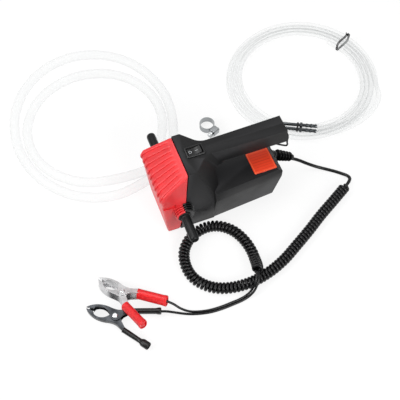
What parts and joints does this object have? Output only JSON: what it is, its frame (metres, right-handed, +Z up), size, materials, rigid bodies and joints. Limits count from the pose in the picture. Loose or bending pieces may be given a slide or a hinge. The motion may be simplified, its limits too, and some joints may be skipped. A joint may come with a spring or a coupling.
{
  "type": "fluid transfer pump",
  "caption": "Hand-held 12 V gear pump with carry handle, side hose spigots, rocker switch, curly supply cord with two battery clamps, two clear hoses, connectors and a hose clamp.",
  "frame": {"origin": "on the flat base, under the middle of the pump's case", "axes": "+X from the red cap to the handle's tail, -Y to the side of the near spigot, +Z up"},
  "size_m": [0.4782, 0.4244, 0.1027],
  "materials": {
    "red_shell": "satin",
    "black_shell": "fine texture",
    "plate": "printed film",
    "dark_steel": "satin",
    "steel": "plated",
    "pump_alloy": "cast",
    "rubber": "matte",
    "spigot": "satin",
    "magnet": "matte",
    "copper": "wound",
    "carbon": "matte",
    "brass": "satin",
    "switch": "satin",
    "cord": "satin",
    "red_sleeve": "gloss",
    "hose": "clear"
  },
  "bodies": {
    "pump": {"front_cap": "red_shell", "near_shell": "black_shell", "far_shell": "black_shell", "rating_plate": "plate", "case_screws": "dark_steel", "cap_screws": "steel", "pump_body": "pump_alloy", "pump_cover": "pump_alloy", "cover_gasket": "rubber", "shaft_seal": "rubber", "driven_axle": "steel", "near_spigot": "spigot", "far_spigot": "spigot", "spigot_rings": "rubber", "motor_mount": "pump_alloy", "motor_can": "steel", "end_bell": "black_shell", "magnets": "magnet", "brushes": "carbon", "bushes": "brass", "switch_frame": "switch", "switch_terminals": "brass", "inner_wires": "cord", "strain_relief": "rubber", "straight_cable": "cord", "curly_cord": "cord", "twin_lead": "cord", "black_lead": "cord", "red_fixed_arm": "steel", "red_rivet": "steel", "red_spring": "steel", "red_sleeve": "red_sleeve", "black_fixed_arm": "dark_steel", "black_rivet": "steel", "black_spring": "steel", "black_sleeve": "switch", "thick_hose_coil": "hose", "thick_hose_loop": "hose", "thin_hose_coil": "hose", "thin_hose_tails": "hose", "coil_tie": "rubber", "connectors": "steel", "connector_rings": "rubber", "clamp_band": "steel", "clamp_housing": "steel"},
    "rocker": {"switch_rocker": "switch"},
    "hook": {"hang_hook": "dark_steel"},
    "rotor": {"motor_shaft": "steel", "armature": "copper", "commutator": "copper", "drive_gear": "steel"},
    "driven": {"driven_gear": "steel"},
    "red_jaw": {"red_moving_arm": "steel", "red_moving_sleeve": "red_sleeve"},
    "black_jaw": {"black_moving_arm": "dark_steel", "black_moving_sleeve": "switch"},
    "worm": {"clamp_screw": "steel"}
  },
  "joints": [
    {"name": "rocker_tilt", "type": "hinge", "parent": "pump", "child": "rocker", "pos_m": [-0.0233, 0, 0.0984], "axis": [0, 1, 0], "range_deg": [0, 14]},
    {"name": "hook_swing", "type": "hinge", "parent": "pump", "child": "hook", "pos_m": [0.07, 0, 0.0772], "axis": [0, 1, 0], "range_deg": [0, 100]},
    {"name": "rotor_spin", "type": "hinge", "parent": "pump", "child": "rotor", "pos_m": [0, 0, 0.03375], "axis": [1, 0, 0], "continuous": true},
    {"name": "driven_spin", "type": "hinge", "parent": "pump", "child": "driven", "pos_m": [0, 0, 0.05825], "axis": [1, 0, 0], "continuous": true},
    {"name": "red_jaw_open", "type": "hinge", "parent": "pump", "child": "red_jaw", "pos_m": [-0.1424, -0.0923, 0.0137], "axis": [0.1652, 0.3251, 0.9312], "range_deg": [0, 22], "stiffness_Nm_per_rad": 0.5, "springref_deg": -22.92},
    {"name": "black_jaw_open", "type": "hinge", "parent": "pump", "child": "black_jaw", "pos_m": [-0.1569, -0.1113, 0.0062], "axis": [0, 0, 1], "range_deg": [0, 22], "stiffness_Nm_per_rad": 0.5, "springref_deg": -22.92},
    {"name": "worm_turn", "type": "hinge", "parent": "pump", "child": "worm", "pos_m": [0.03387, 0.0804, 0.0046], "axis": [0.9063, 0.4226, 0], "continuous": true}
  ],
  "couplings": [
    {"joint": "driven_spin", "follows": "rotor_spin", "ratio": -1}
  ]
}
